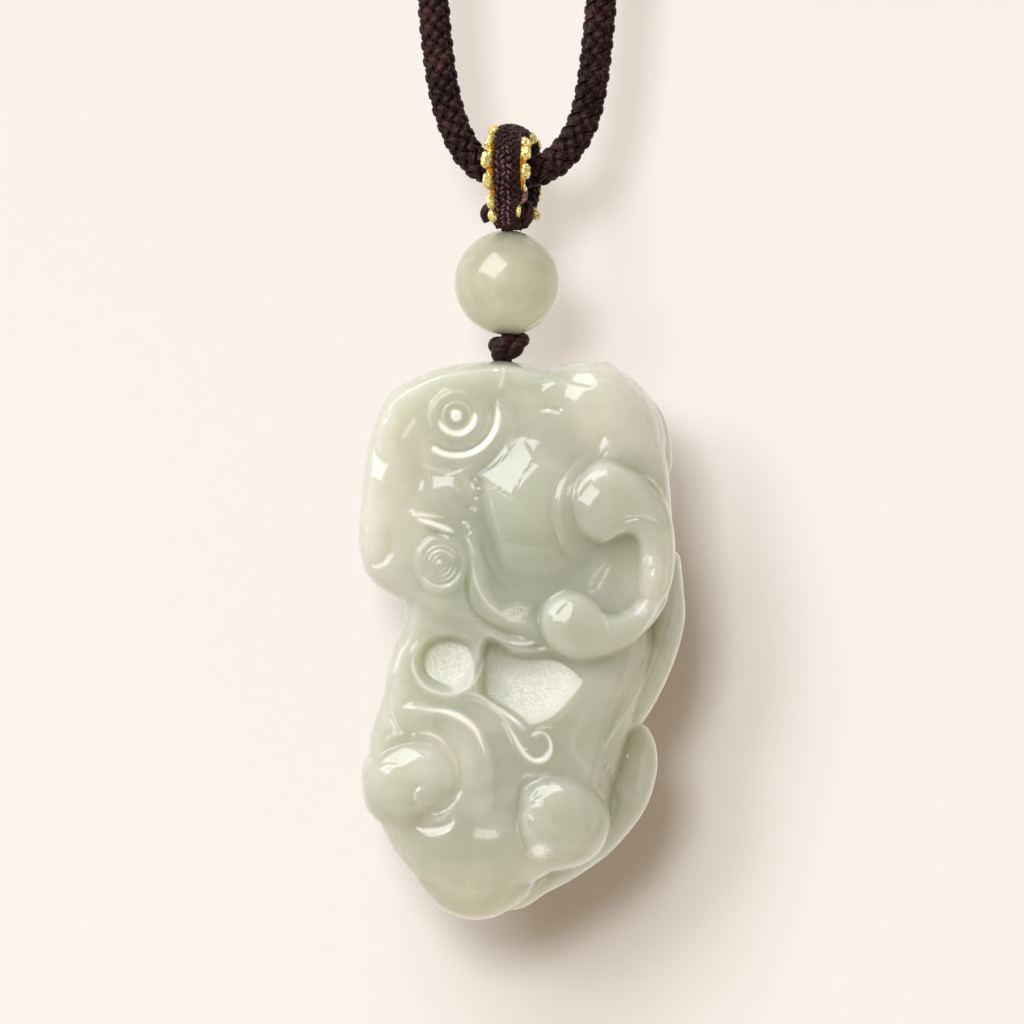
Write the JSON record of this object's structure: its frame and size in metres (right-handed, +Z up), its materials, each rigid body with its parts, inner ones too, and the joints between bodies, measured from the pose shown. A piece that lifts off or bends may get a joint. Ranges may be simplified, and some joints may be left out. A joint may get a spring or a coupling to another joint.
{
  "type": "jade pendant necklace",
  "caption": "Carved pale jade pixiu pendant hanging with a round bead from a slip loop on a closed braided neck cord.",
  "frame": {"origin": "underside of the cord's join at the top of the neck loop, where the loop rests on the neck or peg that holds it", "axes": "+Z up, the pendant hangs towards -Z; the carved face looks towards -Y; +X to the right as seen from the front"},
  "size_m": [0.059, 0.0165, 0.3767],
  "materials": {
    "neck_cord": "dark brown braided nylon, soft sheen",
    "cord_join": "dark brown wound thread",
    "bail_band": "brown weft-bound thread, silky",
    "gold_thread": "twisted metallic gold thread",
    "bead_jade": "polished translucent jade",
    "tie_thread": "dark brown twisted thread",
    "jade": "polished translucent pale grey-green jade"
  },
  "bodies": {
    "cord": {"neck_cord": "neck_cord", "cord_join": "cord_join"},
    "drop": {"bail_band": "bail_band", "gold_edge_left": "gold_thread", "gold_edge_right": "gold_thread", "bead": "bead_jade", "tie_thread": "tie_thread", "jade_pixiu": "jade"}
  },
  "joints": [
    {"name": "drop_swing", "type": "hinge", "parent": "cord", "child": "drop", "pos_m": [-0.00075, 0, -0.3], "axis": [1, 0, 0], "range_deg": [-90, 90]}
  ]
}
